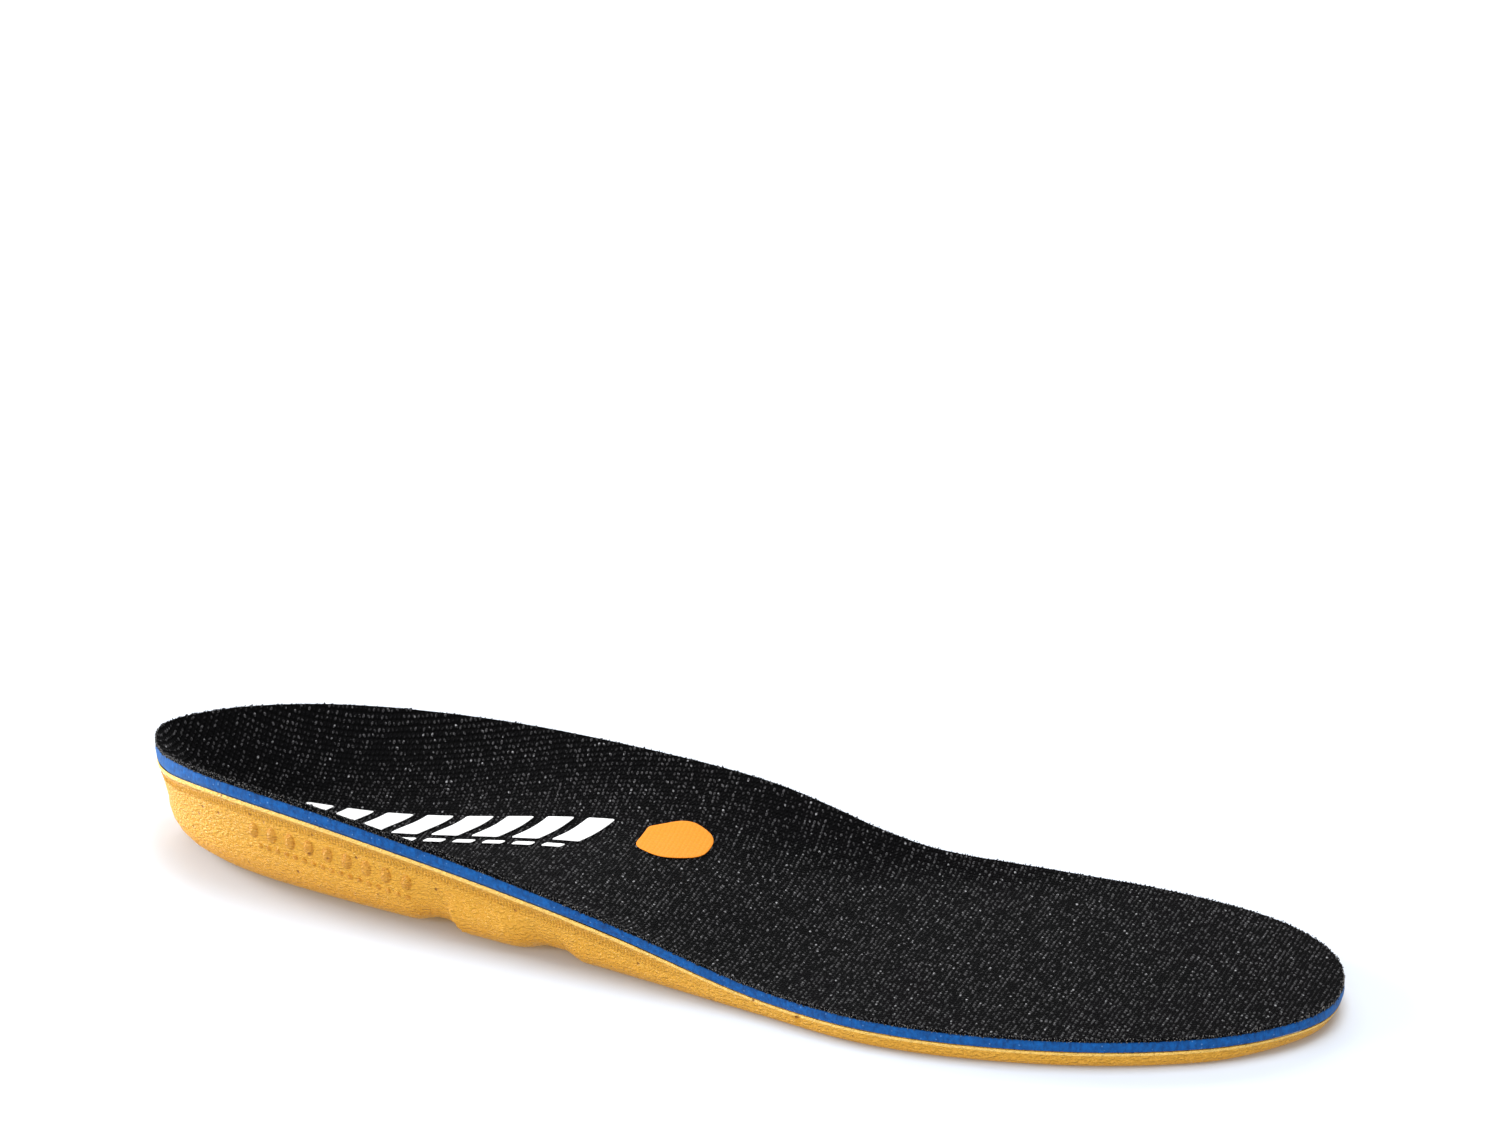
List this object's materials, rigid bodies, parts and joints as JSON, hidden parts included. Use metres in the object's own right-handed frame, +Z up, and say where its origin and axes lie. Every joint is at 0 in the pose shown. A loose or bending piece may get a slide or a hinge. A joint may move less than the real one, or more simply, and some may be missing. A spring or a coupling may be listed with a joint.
{
  "type": "cushioned insole",
  "caption": "Full-length right-foot shoe insole with a deep heel cup and raised arch: knit cover, foam cushion and moulded footbed laminated together, printed on top.",
  "frame": {"origin": "on the ground plane, at the middle of the footprint's bounding box", "axes": "+X along the insole from heel to toe, +Y to the inner (arch) side of the right foot, +Z up"},
  "size_m": [0.29, 0.0986, 0.0273],
  "materials": {
    "knit": "black polyester mesh knit",
    "glue": "hot-melt web",
    "foam": "fine open-cell polyurethane foam, felt-like cut edge",
    "moulding": "moulded polyurethane foam with a leathery skin",
    "white_ink": "satin heat-transfer film",
    "orange_ink": "satin heat-transfer film"
  },
  "bodies": {
    "root": {"top_cover": "knit", "cover_glue_web": "glue", "cushion_foam": "foam", "footbed_glue_web": "glue", "moulded_footbed": "moulding", "print_bar_1": "white_ink", "print_bar_2": "white_ink", "print_bar_3": "white_ink", "print_bar_4": "white_ink", "print_bar_5": "white_ink", "print_bar_6": "white_ink", "print_bar_7": "white_ink", "print_bar_8": "white_ink", "print_dash_1": "white_ink", "print_dash_2": "white_ink", "print_dash_3": "white_ink", "print_dash_4": "white_ink", "print_dash_5": "white_ink", "print_dash_6": "white_ink", "print_emblem": "orange_ink"}
  },
  "joints": []
}
